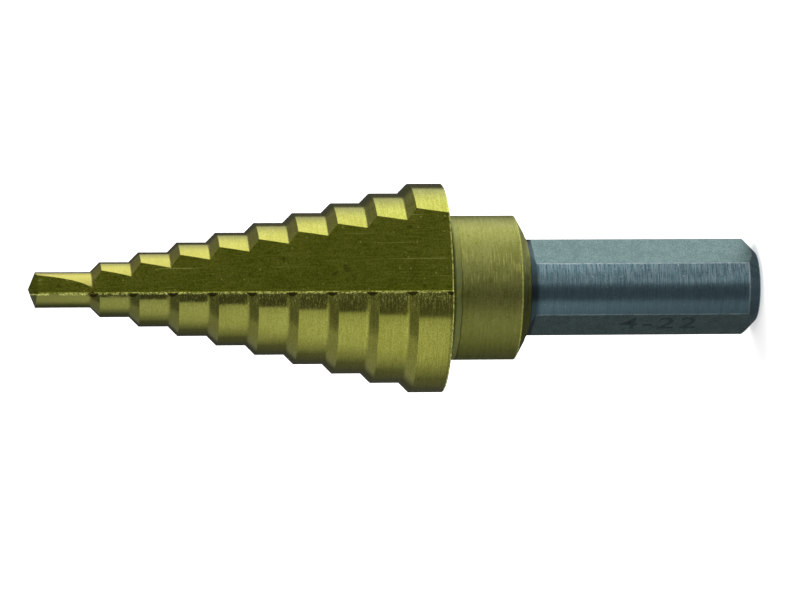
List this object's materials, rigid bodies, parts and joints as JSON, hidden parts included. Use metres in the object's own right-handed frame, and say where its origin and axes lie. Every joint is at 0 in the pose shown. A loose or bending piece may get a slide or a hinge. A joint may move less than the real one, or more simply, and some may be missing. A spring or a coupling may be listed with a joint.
{
  "type": "step drill",
  "caption": "Right-hand step drill with relieved lands, 45-degree shoulders, straight flutes, a thinned point, a plain collar and a round shank with flats for a drill chuck.",
  "frame": {"origin": "centre of the shank's end face, on the drill's axis", "axes": "+Z along the drill's axis from the shank to the tip; one cutting edge lies along -Y and the other along +Y"},
  "size_m": [0.0216, 0.022, 0.076],
  "materials": {
    "coated_steel": "ground high-speed steel, titanium nitride gold on steps and collar, shank left bare grey"
  },
  "bodies": {
    "root": {"step_drill": "coated_steel"}
  },
  "joints": []
}
